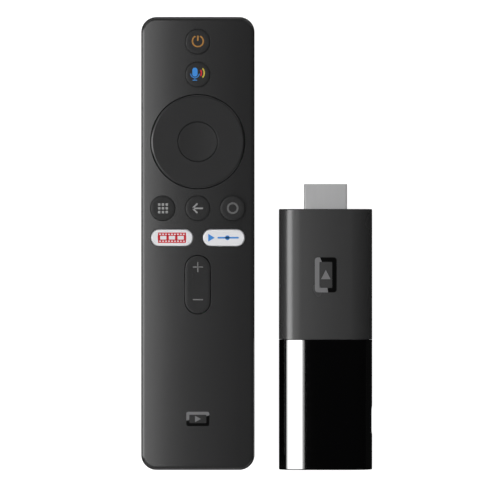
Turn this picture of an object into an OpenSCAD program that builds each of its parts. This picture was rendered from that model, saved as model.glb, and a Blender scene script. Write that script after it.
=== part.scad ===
// Streaming media player set: a slim voice remote lying beside an HDMI stick.
// Millimetres, +Z up. z = 0 is the surface both lie on, +Y runs towards the remote's top end
// and the stick's plug, and the origin is under the middle of the set. Each item is drawn with
// y = 0 at its own bottom end and x = 0 on its own centreline, then moved into place.

/* [Remote body] */
// Length of the remote
remote_l = 146.3; // [146:0.1:150]
// Width of the remote
remote_w = 36.6; // [36.6:0.1:40]
// Thickness of the remote at the middle of its front face
remote_h = 14.6; // [14.6:0.1:15]
// Radius of the four corners, seen from the front
remote_corner_r = 4.9; // [4:0.1:8]
// Thickness of the moulded walls
wall = 1.5; // [1.4:0.05:1.6]
// Height of the line where the two shells part
parting_z = 7; // [6.5:0.1:7.5]
// Fall of the crowned front face from its middle to its sides
crown_fall = 0.66; // [0.2:0.01:0.7]

/* [Remote controls] */
// Power button, distance from the bottom end
power_y = 138.3; // [137.5:0.1:138.5]
// Voice button, distance from the bottom end
voice_y = 127.7; // [127:0.1:128]
// Centre of the d-pad, distance from the bottom end
dpad_y = 106; // [105.5:0.1:106.5]
// Row of three round buttons, distance from the bottom end
row_y = 84.5; // [84:0.1:85]
// Row of two shortcut buttons, distance from the bottom end
shortcut_y = 75; // [74.5:0.1:75.2]
// Centre of the volume rocker, distance from the bottom end
volume_y = 59.85; // [59.8:0.05:60.2]
// Spacing of the three round buttons
row_pitch = 11.25; // [10.5:0.05:11.4]
// Diameter of a round button
button_d = 7.8; // [7.5:0.1:8.4]
// Outer diameter of the d-pad ring
dpad_d = 30.2; // [29.5:0.1:30.4]
// Diameter of the OK button
ok_d = 12.5; // [12:0.1:12.6]
// Offset of a shortcut button from the centreline
shortcut_x = 8.35; // [8.2:0.05:8.4]
// Length of a shortcut button
shortcut_l = 13.4; // [12:0.1:13.6]
// Height of a shortcut button
shortcut_w = 5.2; // [5:0.1:6]
// Length of the volume rocker
volume_l = 18.7; // [17:0.1:18.8]
// Width of the volume rocker
volume_w = 8; // [7:0.1:8.4]
// Clearance between a cap and its hole
cap_gap = 0.25; // [0.2:0.01:0.3]
// Travel of a button
travel = 0.6; // [0.4:0.05:0.6]

/* [Batteries] */
// Diameter of a cell
cell_d = 10.5; // [10:0.1:10.5]
// Length of a cell with its nub
cell_l = 44.5; // [44:0.1:44.5]
// Width of the battery door
door_w = 25; // [24.6:0.1:25.2]
// Length of the battery door
door_l = 49.4; // [49:0.1:49.6]

/* [Stick] */
// Length of the stick's housing, without its plug
stick_l = 84.3; // [84:0.1:90]
// Width of the stick
stick_w = 30.2; // [30.2:0.1:32]
// Thickness of the stick
stick_h = 15.2; // [15.2:0.1:15.6]
// Radius of the stick's gently crowned top
stick_crown_r = 113; // [100:1:300]
// Radius of the upper long edges, which run tangent into the crown
stick_top_r = 7.35; // [7.2:0.05:7.4]
// Length of the glossy sleeve
gloss_l = 42.1; // [41:0.1:44]
// Gap between the remote and the stick as they lie
set_gap = 7.9; // [5:0.1:20]

/* [Plug] */
// Exposed length of the HDMI plug
plug_out = 8.1; // [8:0.1:12]
// Width of the plug
plug_w = 13.9; // [13.8:0.05:14]
// Thickness of the plug
plug_t = 4.45; // [4.4:0.05:4.55]

/* [Hidden] */
$fn = 64;
eps = 1;
remote_x = -(stick_w + set_gap) / 2;
stick_x = (remote_w + set_gap) / 2;
base_y = -remote_l / 2;

// Remote: radii of its long and end edges, back and front
back_side_r = 5;
back_end_r = 2.5;
front_side_r = 1.2;
front_end_r = 0.8;
crown_r = (pow(remote_w / 2, 2) + pow(crown_fall, 2)) / (2 * crown_fall);
face_in_z = remote_h - wall;
part_gap = 0.05;
lip_t = 0.65;
lip_h = 1.2;
inner_w = remote_w - 2 * wall;

// Remote: heights of the stack under the caps
board_z = 8.6;
board_t = 1;
board_y0 = 50.6;
board_top_z = board_z + board_t;
board_w = 32.8;
dome_h = 0.3;
pad_z = board_top_z + dome_h + 0.1;
pad_t = 0.5;
pad_w = 26.6;
pad_y0 = 51.2;
pad_y1 = 141.2;
cap_z = 11.95;
cap_top_z = remote_h + 0.25;
flange_t = 1;
flange_out = 0.6;
post_top_z = cap_z - travel - 0.15;
post_r = 2;
ring_post_r = 1.3;
ok_post_r = 3;
volume_post_y = 5.35;
dome_r = 1.9;
dome_top_r = 1.1;
ear_out = 0.7;
ear_l = 3;
shortcut_flange_out = 0.5;

// Remote: d-pad
ring_z = 12.6;
ring_top_z = 14.7;
ring_in_d = ok_d + 2 * cap_gap;
plate_z = 11.55;
plate_t = 0.6;
plate_r = 10;
plate_in_r = 8.25;
pivot_r = 9.1;
ok_z = 11.4;
ok_flange_r = 7.75;
dpad_post_r = 11.8;
ok_flange_t = 0.6;

// Remote: battery tub
tub_w = 24.5;
bay_w = 22.3;
bay_y0 = 1.55;
bay_y1 = 49.1;
tub_y1 = 50.1;
bay_top_z = 12.3;
tub_top_z = 12.95;
cell_x = 5.6;
cell_z = 6.95;
nub_l = 1.2;
plate_thick = 0.3;
door_t = 1.3;
tongue_out = 0.65;
grip_w = 9;
grip_l = 0.8;
grip_depth = 0.35;
grip_pitch = 1.6;
grip_y0 = 9;
grip_count = 4;
cell_y0 = bay_y0 + 2.7;
cell_turned_y0 = bay_y0 + 0.35;
nub_d = 4.6;
spring_sides = 6;
spring_steps = 40;
spring_turns = 2.5;
spring_wire_r = 0.3;
spring_len = 1.7;
spring_r = 3.8;
spring_top_r = 2.2;

// Remote: screws and the bosses that they cut into
screw_x = 15;
screw_ys = [64, 127.7];
screw_r = 0.58;
screw_head_r = 1.3;
screw_head_t = 0.9;
boss_r = 1.5;
boss_hole_r = 0.6;
boss_hole_l = 2.6;

// Remote: parts on the board, each size in x, y and z
mic_x = 10.5;
mic_y = 141.5;
mic_size = [3, 2.2, 1];
mic_hole_d = 1;
radio_chip_size = [5, 5, 0.9];
codec_size = [3.2, 2.5, 0.8];
crystal_size = [2, 1.6, 0.7];
passive_size = [1, 0.5, 0.5];

// Stick: where its upper and lower edge arcs meet, at its widest
stick_crown_z = stick_h - stick_crown_r;
stick_top_x = stick_w / 2 - stick_top_r;
stick_mid_z = stick_crown_z + sqrt(pow(stick_crown_r - stick_top_r, 2) - pow(stick_top_x, 2));
stick_tangent_x = stick_top_x * stick_crown_r / (stick_crown_r - stick_top_r);
seam_gap = 0.1;
end_wall = 1.6;
main_board_z = 6.3;
main_board_t = 1;
main_board_w = 24;
main_board_top = main_board_z + main_board_t;
plug_y0 = stick_l - 10.3;
plug_y1 = stick_l + plug_out;
plug_wall = 0.3;
slot_w = 11.4;
slot_t = 1.9;
slot_y0 = stick_l - 0.8;
contact_w = 0.3;
contact_t = 0.2;
usb_y = 16;
usb_w = 7.8;
usb_t = 2.8;
usb_x0 = 8.95;
usb_x1 = 14.9;
usb_wall = 0.25;
led_y = 24;
led_size = [1, 1.6, 1.4];
pipe_d = 1.6;
pipe_z = 8.1;
pipe_l = 3.8;
contact_y0 = plug_y0 - 0.3;
contact_foot_l = 1.2;
can_y0 = 26.5;
can_size = [20, 38.5, 2];
can_wall = 0.2;
chip_size = [13, 13, 1.1];
memory_size = [11.5, 9, 0.9];
pad_size = [15, 28, 0.8];
spreader_size = [17, 40, 1];
radio_module_size = [12, 12, 1.6];
frame_y0 = 3;
frame_l = stick_l - 16;

// ---------- placing ----------

module on_remote() translate([remote_x, base_y, 0]) children();

module on_stick() translate([stick_x, base_y, 0]) children();

// ---------- shared shapes ----------

// Rounded rectangle, centred in x, from y = 0 to y = l
module plan(w, l, r) {
    translate([-w / 2 + r, 0]) square([w - 2 * r, l]);
    translate([-w / 2, r]) square([w, l - 2 * r]);
    for (x = [-1, 1], y = [r, l - r]) translate([x * (w / 2 - r), y]) circle(r = r);
}

// Section from y = 0 to y = h with its own radii for the lower and the upper corners
module section(w, h, low_r, high_r) {
    translate([-w / 2 + low_r, 0]) square([w - 2 * low_r, h]);
    translate([-w / 2, low_r]) square([w, h - low_r - high_r]);
    translate([-w / 2 + high_r, h / 2]) square([w - 2 * high_r, h / 2]);
    for (x = [-1, 1]) {
        translate([x * (w / 2 - low_r), low_r]) circle(r = low_r);
        translate([x * (w / 2 - high_r), h - high_r]) circle(r = high_r);
    }
}

// Stadium lying along x or along y, centred
module stadium_x(l, w) {
    square([l - w, w], center = true);
    for (x = [-1, 1]) translate([x * (l - w) / 2, 0]) circle(d = w);
}

module stadium_y(l, w) rotate(90) stadium_x(l, w);

// Extrude a section drawn in x and z along y
module along_y(y0, y1) translate([0, y1, 0]) rotate([90, 0, 0]) linear_extrude(y1 - y0) children();

// Extrude a section drawn in y and z along x
module along_x(x0, x1) translate([x0, 0, 0]) rotate([90, 0, 90]) linear_extrude(x1 - x0) children();

module at(x, y, z) translate([x, y, z]) children();

// A bar given by its middle in x, its start in y and z, and its size
module bar(x, y, z, size) translate([x - size[0] / 2, y, z]) cube(size);

// ---------- remote: body shape ----------

// The remote's outer form, moved in by inset, with its front face at top_z
module remote_form(inset, top_z) {
    w = remote_w - 2 * inset;
    l = remote_l - 2 * inset;
    h = top_z - inset;
    intersection() {
        translate([0, inset, inset - eps]) linear_extrude(h + 2 * eps)
            plan(w, l, remote_corner_r - inset);
        along_y(inset - eps, l + inset + eps) translate([0, inset])
            section(w, h, back_side_r - inset, front_side_r);
        along_x(-w / 2 - eps, w / 2 + eps) translate([remote_l / 2, inset])
            section(l, h, back_end_r - inset, front_end_r);
    }
}

module remote_body() intersection() {
    remote_form(0, remote_h);
    translate([0, -eps, remote_h - crown_r]) rotate([-90, 0, 0])
        cylinder(r = crown_r, h = remote_l + 2 * eps, $fn = 360);
}

// The band between two insets and two heights, for the lip between the shells
module lip_band(inset_out, inset_in, z0, z1) translate([0, 0, z0]) linear_extrude(z1 - z0)
    difference() {
        translate([0, inset_out])
            plan(remote_w - 2 * inset_out, remote_l - 2 * inset_out, remote_corner_r - inset_out);
        translate([0, inset_in])
            plan(remote_w - 2 * inset_in, remote_l - 2 * inset_in, remote_corner_r - inset_in);
    }

// The holes in the front face, each wider than its cap by cap_gap
module cap_holes(grow, z0, z1) translate([0, 0, z0]) linear_extrude(z1 - z0) {
    for (y = [power_y, voice_y]) translate([0, y]) circle(d = button_d + 2 * grow);
    translate([0, dpad_y]) circle(d = dpad_d + 2 * grow);
    for (x = [-1, 0, 1]) translate([x * row_pitch, row_y]) circle(d = button_d + 2 * grow);
    for (x = [-1, 1]) translate([x * shortcut_x, shortcut_y])
        stadium_x(shortcut_l + 2 * grow, shortcut_w + 2 * grow);
    translate([0, volume_y]) stadium_y(volume_l + 2 * grow, volume_w + 2 * grow);
}

module front_shell_solid() {
    difference() {
        remote_body();
        translate([-remote_w, -eps, -eps])
            cube([2 * remote_w, remote_l + 2 * eps, parting_z + part_gap + eps]);
        translate([0, wall, 0]) linear_extrude(face_in_z)
            plan(inner_w, remote_l - 2 * wall, remote_corner_r - wall);
        lip_band(wall - lip_t - part_gap, wall + part_gap, parting_z, parting_z + lip_h + part_gap);
        cap_holes(cap_gap, face_in_z - eps, remote_h + eps);
        at(mic_x, remote_l - wall - eps, board_top_z + 0.6) rotate([-90, 0, 0])
            cylinder(d = mic_hole_d, h = wall + 2 * eps, $fn = 32);
    }
    for (x = [-1, 1], y = screw_ys) at(x * screw_x, y, board_top_z) difference() {
        cylinder(r = boss_r, h = face_in_z + 0.1 - board_top_z);
        translate([0, 0, -eps]) cylinder(r = boss_hole_r, h = boss_hole_l + eps, $fn = 32);
    }
}

module remote_front_shell() color("#2c2c2e") on_remote() front_shell_solid();

// The door's plate between its two side tongues, grown by gap
module door_plate(gap) {
    bar(0, -eps, -eps, [door_w + 2 * gap, door_l + eps + gap, door_t + eps + gap]);
    bar(0, -eps, 0.55 - gap, [door_w + 2 * tongue_out + 2 * gap, door_l - 2 + eps + gap, 0.4 + 2 * gap]);
}

module back_shell_solid() {
    difference() {
        union() {
            difference() {
                remote_form(0, remote_h);
                remote_form(wall, remote_h);
                translate([-remote_w, -eps, parting_z - part_gap])
                    cube([2 * remote_w, remote_l + 2 * eps, remote_h]);
            }
            lip_band(wall - lip_t, wall, parting_z - 2, parting_z + lip_h);
            bar(0, wall - 0.05, wall / 2, [tub_w, tub_y1 - wall + 0.05, tub_top_z - wall / 2]);
        }
        bar(0, bay_y0, -eps, [bay_w, bay_y1 - bay_y0, bay_top_z + eps]);
        bar(0, wall - eps, parting_z + lip_h,
            [bay_w, bay_y0 - wall + 2 * eps, bay_top_z - parting_z - lip_h]);
        door_plate(0.1);
    }
}

module remote_back_shell() color("#262628") on_remote() back_shell_solid();

module remote_battery_door() color("#2a2a2c") on_remote() difference() {
    intersection() {
        remote_form(0, remote_h);
        door_plate(0);
    }
    for (i = [0:grip_count - 1])
        bar(0, grip_y0 + grip_pitch * i, -eps, [grip_w, grip_l, eps + grip_depth]);
}

// ---------- remote: inside ----------

module board_outline() difference() {
    translate([0, board_y0]) plan(board_w, remote_l - wall - 0.9 - board_y0, 2.6);
    for (x = [-1, 1], y = screw_ys) translate([x * screw_x, y]) circle(r = 0.75, $fn = 32);
}

module remote_board() color("#1f5c3a") on_remote()
    at(0, 0, board_z) linear_extrude(board_t) board_outline();

// Centres of every contact under the keypad
function contact_points() = concat(
    [[0, power_y], [0, voice_y], [0, dpad_y]],
    [for (a = [0:90:270]) [dpad_post_r * cos(a), dpad_y + dpad_post_r * sin(a)]],
    [for (x = [-1:1]) [x * row_pitch, row_y]],
    [for (x = [-1, 1]) [x * shortcut_x, shortcut_y]],
    [for (s = [-1, 1]) [0, volume_y + s * volume_post_y]]
);

module remote_snap_domes() color("#b9bcc0") on_remote()
    for (p = contact_points()) at(p[0], p[1], board_top_z)
        cylinder(r1 = dome_r, r2 = dome_top_r, h = dome_h);

module remote_keypad() color("#3a3a3d") on_remote() {
    at(0, pad_y0, pad_z) linear_extrude(pad_t) plan(pad_w, pad_y1 - pad_y0, 3);
    for (y = [power_y, voice_y]) pad_post(0, y, post_r, post_top_z);
    for (x = [-1:1]) pad_post(x * row_pitch, row_y, post_r, post_top_z);
    for (x = [-1, 1]) pad_post(x * shortcut_x, shortcut_y, post_r, post_top_z);
    for (s = [-1, 1]) pad_post(0, volume_y + s * volume_post_y, post_r, post_top_z);
    pad_post(0, dpad_y, ok_post_r, ok_z - travel - 0.1);
    for (a = [0:90:270])
        pad_post(dpad_post_r * cos(a), dpad_y + dpad_post_r * sin(a), ring_post_r, ring_z - 0.7);
    // Pads that the rocker plate and the volume rocker tip over
    for (s = [-1, 1]) bar(s * pivot_r, dpad_y - 0.25, pad_z, [1.2, 0.5, plate_z - 0.05 - pad_z]);
    bar(0, volume_y - 0.25, pad_z, [5, 0.5, cap_z - 0.05 - pad_z]);
}

module pad_post(x, y, r, top_z) at(x, y, pad_z) cylinder(r = r, h = top_z - pad_z);

module remote_board_screws() color("#c4c7ca") on_remote()
    for (x = [-1, 1], y = screw_ys) at(x * screw_x, y, board_z) {
        difference() {
            translate([0, 0, -screw_head_t]) cylinder(r = screw_head_r, h = screw_head_t);
            for (a = [0, 90]) rotate(a)
                translate([-0.8, -0.15, -screw_head_t - eps]) cube([1.6, 0.3, 0.4 + eps]);
        }
        cylinder(r = screw_r, h = board_t + boss_hole_l - 0.4, $fn = 32);
    }

module remote_radio_chip() color("#1a1a1c") on_remote()
    bar(0, 113, board_z - radio_chip_size[2], radio_chip_size);

module remote_small_chips() color("#232326") on_remote() {
    bar(-7, 112, board_z - codec_size[2], codec_size);
    bar(6.5, 116, board_z - crystal_size[2], crystal_size);
    for (i = [0:4]) bar(-4 + 2 * i, 109, board_z - passive_size[2], passive_size);
    for (i = [0:3]) bar(-8, 117 + 1.6 * i, board_z - passive_size[2], passive_size);
}

module remote_microphone() color("#c9b26a") on_remote()
    bar(mic_x, mic_y, board_top_z, mic_size);

// One cell along y, its nub towards +y
module cell() rotate([-90, 0, 0]) {
    cylinder(d = cell_d, h = cell_l - nub_l);
    translate([0, 0, cell_l - nub_l]) cylinder(d = nub_d, h = nub_l);
}

module battery_cell_left() color("#3f6f8f") on_remote() at(-cell_x, cell_y0, cell_z) cell();

module battery_cell_right() color("#3f6f8f") on_remote()
    at(cell_x, cell_l + cell_turned_y0, cell_z) rotate(180) cell();

// A conical spring along y: a round wire swept round a tapering helix, t running from 0 to 1
function spring_pt(t) = let (a = 360 * spring_turns * t, r = spring_r + (spring_top_r - spring_r) * t)
    [r * cos(a), spring_len * t, r * sin(a)];

function spring_ring(t) = let (a = 360 * spring_turns * t, c = spring_pt(t))
    [for (k = [0:spring_sides - 1]) let (b = 360 * k / spring_sides)
        c + spring_wire_r * (cos(b) * [cos(a), 0, sin(a)] + sin(b) * [0, 1, 0])];

module coil_spring() {
    n = spring_sides;
    pts = [for (i = [0:spring_steps]) each spring_ring(i / spring_steps)];
    sides = [for (i = [0:spring_steps - 1], k = [0:n - 1])
        each [[i * n + k, (i + 1) * n + k, i * n + (k + 1) % n],
              [i * n + (k + 1) % n, (i + 1) * n + k, (i + 1) * n + (k + 1) % n]]];
    ends = [[for (k = [0:n - 1]) k], [for (k = [n - 1:-1:0]) spring_steps * n + k]];
    polyhedron(pts, concat(sides, ends));
}

module battery_springs() color("#c9cbcf") on_remote() {
    at(-cell_x, bay_y0 + 0.65, cell_z) coil_spring();
    at(cell_x, bay_y1 - 0.65, cell_z) rotate(180) coil_spring();
}

module battery_contact_plates() color("#b5b8bc") on_remote() {
    bar(0, bay_y0, cell_z - 4, [19, plate_thick, 8]);
    for (x = [-1, 1]) bar(x * cell_x, bay_y1 - plate_thick, cell_z - 4, [8, plate_thick, 8]);
}

// ---------- remote: caps ----------

module round_cap(x, y) at(x, y, 0) {
    at(0, 0, cap_z) cylinder(d = button_d, h = cap_top_z - cap_z);
    at(0, 0, cap_z) cylinder(d = button_d + 2 * flange_out, h = flange_t);
}

module power_button() color("#2a2a2c") on_remote() round_cap(0, power_y);

module voice_button() color("#2a2a2c") on_remote() round_cap(0, voice_y);

module apps_button() color("#2a2a2c") on_remote() round_cap(-row_pitch, row_y);

module back_button() color("#2a2a2c") on_remote() round_cap(0, row_y);

module home_button() color("#2a2a2c") on_remote() round_cap(row_pitch, row_y);

module shortcut_cap(x) at(x, shortcut_y, cap_z) {
    linear_extrude(cap_top_z - cap_z) stadium_x(shortcut_l, shortcut_w);
    linear_extrude(flange_t)
        stadium_x(shortcut_l + 2 * shortcut_flange_out, shortcut_w + 2 * shortcut_flange_out);
}

module shortcut_button_left() color("#ececee") on_remote() shortcut_cap(-shortcut_x);

module shortcut_button_right() color("#ececee") on_remote() shortcut_cap(shortcut_x);

module dpad_ring() color("#2e2e30") on_remote() at(0, dpad_y, ring_z) difference() {
    cylinder(d = dpad_d, h = ring_top_z - ring_z, $fn = 128);
    translate([0, 0, -eps]) cylinder(d = ring_in_d, h = ring_top_z - ring_z + 2 * eps);
}

module dpad_rocker_plate() color("#515156") on_remote() at(0, dpad_y, plate_z) {
    difference() {
        cylinder(r = plate_r, h = plate_t);
        translate([0, 0, -eps]) cylinder(r = plate_in_r, h = plate_t + 2 * eps);
    }
    // Ribs along y that the ring tips over
    for (s = [-1, 1]) at(0, s * pivot_r - 0.8, ring_z - plate_z - 0.3) rotate([-90, 0, 0])
        cylinder(r = 0.25, h = 1.6, $fn = 32);
}

module ok_button() color("#303032") on_remote() at(0, dpad_y, ok_z) {
    cylinder(d = ok_d, h = cap_top_z - ok_z);
    cylinder(r = ok_flange_r, h = ok_flange_t);
}

module volume_rocker() color("#2c2c2e") on_remote() at(0, volume_y, cap_z) {
    linear_extrude(cap_top_z - cap_z) stadium_y(volume_l, volume_w);
    bar(0, -ear_l / 2, 0.2, [volume_w + 2 * ear_out, ear_l, 0.7]);
}

// ---------- stick ----------

// The stick's section moved in by inset: crowned above, flat below, full round sides
module stick_section(inset) {
    low_r = stick_mid_z;
    low_x = stick_w / 2 - low_r;
    translate([-low_x, inset]) square([2 * low_x, stick_mid_z - inset]);
    intersection() {
        for (x = [-1, 1]) translate([x * low_x, stick_mid_z]) circle(r = low_r - inset);
        translate([-stick_w, -eps]) square([2 * stick_w, stick_mid_z + eps]);
    }
    intersection() {
        for (x = [-1, 1]) translate([x * stick_top_x, stick_mid_z]) circle(r = stick_top_r - inset);
        translate([-stick_w, stick_mid_z]) square([2 * stick_w, stick_h]);
    }
    intersection() {
        translate([0, stick_crown_z]) circle(r = stick_crown_r - inset, $fn = 360);
        translate([-stick_tangent_x, stick_mid_z]) square([2 * stick_tangent_x, stick_h]);
    }
}

module stick_form(inset, y0, y1) along_y(y0, y1) stick_section(inset);

module stick_matte_sleeve() color("#353537") on_stick() difference() {
    stick_form(0, gloss_l + seam_gap / 2, stick_l);
    stick_form(wall, gloss_l - eps, stick_l - end_wall);
    bar(0, stick_l - end_wall - eps, stick_mid_z - plug_t / 2 - 0.15,
        [plug_w + 0.3, end_wall + 2 * eps, plug_t + 0.3]);
}

module stick_gloss_sleeve() color("#0a0a0b") on_stick() difference() {
    stick_form(0, 0, gloss_l - seam_gap / 2);
    stick_form(wall, end_wall, gloss_l + eps);
    at(0, usb_y, stick_mid_z) along_x(usb_x0, stick_w)
        square([usb_w + 0.8, usb_t + 0.8], center = true);
    at(usb_x0, led_y, pipe_z) rotate([0, 90, 0]) cylinder(d = pipe_d + 0.1, h = stick_w, $fn = 32);
}

module stick_inner_frame() color("#4a4a4d") on_stick() {
    rib_x = 8.6;
    difference() {
        stick_form(wall + 0.05, gloss_l - 4, gloss_l + 4);
        stick_form(wall + 0.8, gloss_l - 4 - eps, gloss_l + 4 + eps);
    }
    bar(0, frame_y0, wall + 0.1, [17, frame_l, 0.8]);
    for (x = [-1, 1])
        bar(x * (rib_x - 0.7), frame_y0, wall + 0.5, [1.2, frame_l, main_board_z - wall - 0.5]);
    for (y = [6, 24, 44, 62]) bar(0, y, wall + 0.5, [15, 1.2, 3]);
}

// Plug section in x and z: square upper corners and chamfered lower ones
module plug_section(inset) {
    w = plug_w / 2 - inset;
    t = plug_t / 2 - inset;
    chamfer = 1.6 - 0.35 * inset;
    polygon([[-w, t], [-w, chamfer - t], [chamfer - w, -t], [w - chamfer, -t], [w, chamfer - t], [w, t]]);
}

module hdmi_plug_shell() color("#a8a9ac") on_stick() at(0, 0, stick_mid_z) difference() {
    along_y(plug_y0, plug_y1) plug_section(0);
    along_y(plug_y0 - eps, plug_y1 + eps) plug_section(plug_wall);
}

// One contact strip of the plug: row 1 above the slot and on top of the board, row -1 below both
module contact_strip(i, row) {
    x = row > 0 ? i - 4.5 : i - 4;
    z = row > 0 ? slot_t / 2 : -slot_t / 2 - contact_t;
    foot_z = (row > 0 ? main_board_top : main_board_z - contact_t) - stick_mid_z;
    bar(x, contact_y0, z, [contact_w, plug_y1 - 1 - contact_y0, contact_t]);
    bar(x, contact_y0, min(z, foot_z), [contact_w, contact_t, abs(z - foot_z) + contact_t]);
    bar(x, contact_y0 - contact_foot_l, foot_z, [contact_w, contact_foot_l + contact_t, contact_t]);
}

module contact_strips() {
    for (i = [0:9]) contact_strip(i, 1);
    for (i = [0:8]) contact_strip(i, -1);
}

module hdmi_contacts() color("#c8a24a") on_stick() at(0, 0, stick_mid_z) contact_strips();

module hdmi_insulator() color("#18181a") on_stick() at(0, 0, stick_mid_z) difference() {
    along_y(plug_y0 + 0.2, plug_y1 - 0.6) plug_section(plug_wall);
    bar(0, slot_y0, -slot_t / 2, [slot_w, plug_y1 - slot_y0 + eps, slot_t]);
    contact_strips();
}

module stick_main_board() color("#1c4f7a") on_stick() difference() {
    at(0, 3, main_board_z) linear_extrude(main_board_t) plan(main_board_w, plug_y0 - 3.4, 1.5);
    bar(main_board_w / 2, usb_y - usb_w / 2 - 0.1, main_board_z - eps,
        [2 * (main_board_w / 2 - usb_x0 + 0.1), usb_w + 0.2, main_board_t + 2 * eps]);
}

module stick_processor() color("#1b1b1d") on_stick() bar(0, 50, main_board_top, chip_size);

module stick_memory_chips() color("#222225") on_stick()
    for (y = [28, 39]) bar(0, y, main_board_top, memory_size);

module stick_shield_can() color("#b2b5b9") on_stick() at(0, 0, main_board_top) difference() {
    bar(0, can_y0, 0, can_size);
    bar(0, can_y0 + can_wall, -eps,
        [can_size[0] - 2 * can_wall, can_size[1] - 2 * can_wall, can_size[2] - can_wall + eps]);
}

module stick_thermal_pad() color("#9aa6b8") on_stick() bar(0, 34, main_board_top + can_size[2], pad_size);

module stick_heat_spreader() color("#c7c9cc") on_stick() difference() {
    spreader_z = main_board_top + can_size[2] + pad_size[2];
    bar(0, 30, spreader_z, spreader_size);
    for (i = [0:4]) bar(0, 34 + 7.5 * i, spreader_z + 0.7, [14, 2, 1]);
}

module stick_radio_module() color("#a9adb2") on_stick() bar(-3, 9, main_board_top, radio_module_size);

// Folded strip antenna at the far end of the board
module stick_antenna() color("#c08a4a") on_stick() {
    bar(0, 4, main_board_top, [14, 1.2, 0.3]);
    for (x = [-4, 4]) bar(x, 5.2, main_board_top, [1, 2, 0.3]);
    bar(0, 4, main_board_top + 0.3, [14, 0.3, 2.2]);
}

module usb_socket_shell() color("#b9bbbf") on_stick() at(0, usb_y, stick_mid_z) difference() {
    along_x(usb_x0, usb_x1) square([usb_w, usb_t], center = true);
    along_x(usb_x0 + 0.6, usb_x1 + eps) square([usb_w - 2 * usb_wall, usb_t - 2 * usb_wall], center = true);
}

module usb_socket_tongue() color("#141416") on_stick() at(0, usb_y, stick_mid_z)
    along_x(usb_x0 + 0.6, usb_x1 - 1) translate([0, 0.3]) square([3.8, 0.7], center = true);

module usb_socket_contacts() color("#c8a24a") on_stick() at(0, usb_y, stick_mid_z)
    for (i = [-2:2]) along_x(usb_x0 + 0.8, usb_x1 - 1.3)
        translate([0.65 * i, -0.1]) square([0.3, 0.1], center = true);

module status_led() color("#e9e4c8") on_stick() bar(10.6, led_y - led_size[1] / 2, main_board_top, led_size);

module status_light_pipe() color("#dfe6ea") on_stick()
    at(11.2, led_y, pipe_z) rotate([0, 90, 0]) cylinder(d = pipe_d, h = pipe_l, $fn = 32);

remote_front_shell();
remote_back_shell();
remote_battery_door();
remote_keypad();
remote_board();
remote_snap_domes();
remote_board_screws();
remote_radio_chip();
remote_small_chips();
remote_microphone();
battery_cell_left();
battery_cell_right();
battery_springs();
battery_contact_plates();
power_button();
voice_button();
dpad_ring();
dpad_rocker_plate();
ok_button();
apps_button();
back_button();
home_button();
shortcut_button_left();
shortcut_button_right();
volume_rocker();
stick_matte_sleeve();
stick_gloss_sleeve();
stick_inner_frame();
hdmi_plug_shell();
hdmi_insulator();
hdmi_contacts();
stick_main_board();
stick_processor();
stick_memory_chips();
stick_shield_can();
stick_thermal_pad();
stick_heat_spreader();
stick_radio_module();
stick_antenna();
usb_socket_shell();
usb_socket_tongue();
usb_socket_contacts();
status_led();
status_light_pipe();
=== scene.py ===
"""Looks of the streaming media player set: a voice remote lying beside an HDMI stick.

Shapes are drawn in millimetres in each item's own frame, x from its centreline and y from its
bottom end, and moved into place by the boxes of the CAD nodes.
"""
import math

import bmesh
import bpy
from mathutils import Matrix, Vector
from mathutils.geometry import delaunay_2d_cdt


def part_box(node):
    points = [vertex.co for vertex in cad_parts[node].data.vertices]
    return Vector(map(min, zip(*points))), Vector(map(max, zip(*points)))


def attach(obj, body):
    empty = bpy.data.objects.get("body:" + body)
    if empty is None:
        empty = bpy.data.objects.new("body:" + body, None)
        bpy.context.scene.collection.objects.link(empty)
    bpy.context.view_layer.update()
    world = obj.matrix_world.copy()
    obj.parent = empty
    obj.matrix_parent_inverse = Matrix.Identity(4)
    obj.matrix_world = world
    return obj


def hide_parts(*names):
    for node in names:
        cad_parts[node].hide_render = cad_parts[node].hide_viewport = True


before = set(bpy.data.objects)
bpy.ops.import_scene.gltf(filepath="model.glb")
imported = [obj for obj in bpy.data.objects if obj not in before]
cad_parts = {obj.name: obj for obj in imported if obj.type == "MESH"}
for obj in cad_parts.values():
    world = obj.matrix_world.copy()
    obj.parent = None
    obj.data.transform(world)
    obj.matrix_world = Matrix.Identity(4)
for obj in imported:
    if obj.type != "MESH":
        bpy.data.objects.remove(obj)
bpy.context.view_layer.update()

MM = 0.001


# ---------------------------------------------------------------- places, from the frame

def box_mm(node):
    """Lowest and highest corner of a CAD node, in millimetres."""
    low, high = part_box(node)
    return low / MM, high / MM


class Item:
    """The remote or the stick: where its own frame sits, and its outer size."""

    def __init__(self, *nodes):
        lows, highs = zip(*[box_mm(node) for node in nodes])
        low, high = Vector(map(min, *lows)), Vector(map(max, *highs))
        self.x, self.y = (low.x + high.x) / 2, low.y
        self.w, self.l, self.h = high.x - low.x, high.y - low.y, high.z

    def middle(self, node):
        """A node's middle in this item's frame, its size, and its lowest and highest z."""
        low, high = box_mm(node)
        mid = (low + high) / 2
        return mid.x - self.x, mid.y - self.y, high - low, low.z, high.z


REMOTE = Item("remote_front_shell", "remote_back_shell")
STICK = Item("stick_gloss_sleeve", "stick_matte_sleeve")


# ---------------------------------------------------------------- mesh building

MERGE_MM = 1e-6          # points this close become one in a filled face
WELD_M = 1e-7            # and in a finished mesh
SMOOTH_ANGLE = 30        # degrees; edges sharper than this stay hard
CAP_ANGLE = 40           # the same for the caps


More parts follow.
